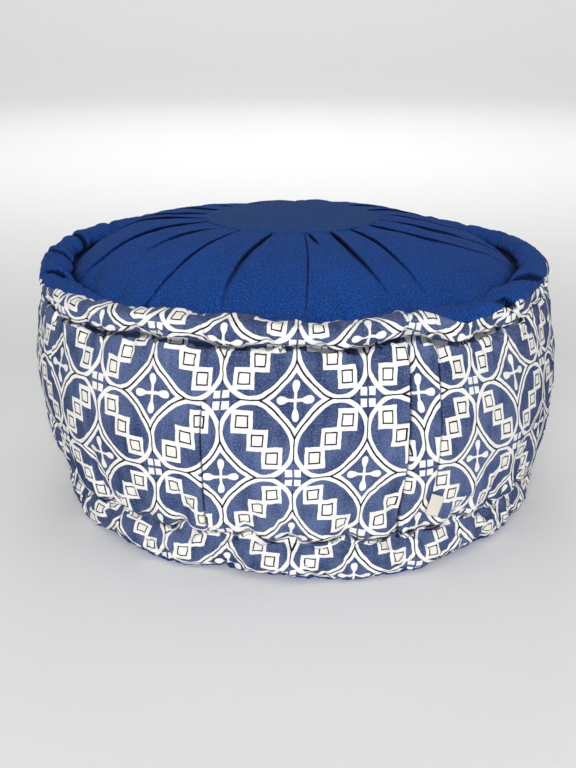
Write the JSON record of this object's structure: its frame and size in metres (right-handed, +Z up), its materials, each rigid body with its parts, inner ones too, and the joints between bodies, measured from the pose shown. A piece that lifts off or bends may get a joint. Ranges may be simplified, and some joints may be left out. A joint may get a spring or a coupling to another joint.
{
  "type": "zafu meditation cushion",
  "caption": "Round filled floor cushion with a pleated plain top under a centre patch, rolled edges, a printed side band drawn in at top and bottom, and a plain flat base.",
  "frame": {"origin": "on the floor, at the middle of the flat base", "axes": "+Z up through the crown, -Y to the front as pictured, +X to the right seen from the front"},
  "size_m": [0.3806, 0.3803, 0.2063],
  "materials": {
    "plain_cotton": "matte",
    "patch_cotton": "matte",
    "printed_cotton": "matte",
    "label_tape": "matte"
  },
  "bodies": {
    "root": {"top_panel": "plain_cotton", "centre_patch": "patch_cotton", "side_band": "printed_cotton", "base_panel": "plain_cotton", "side_label": "label_tape"}
  },
  "joints": []
}
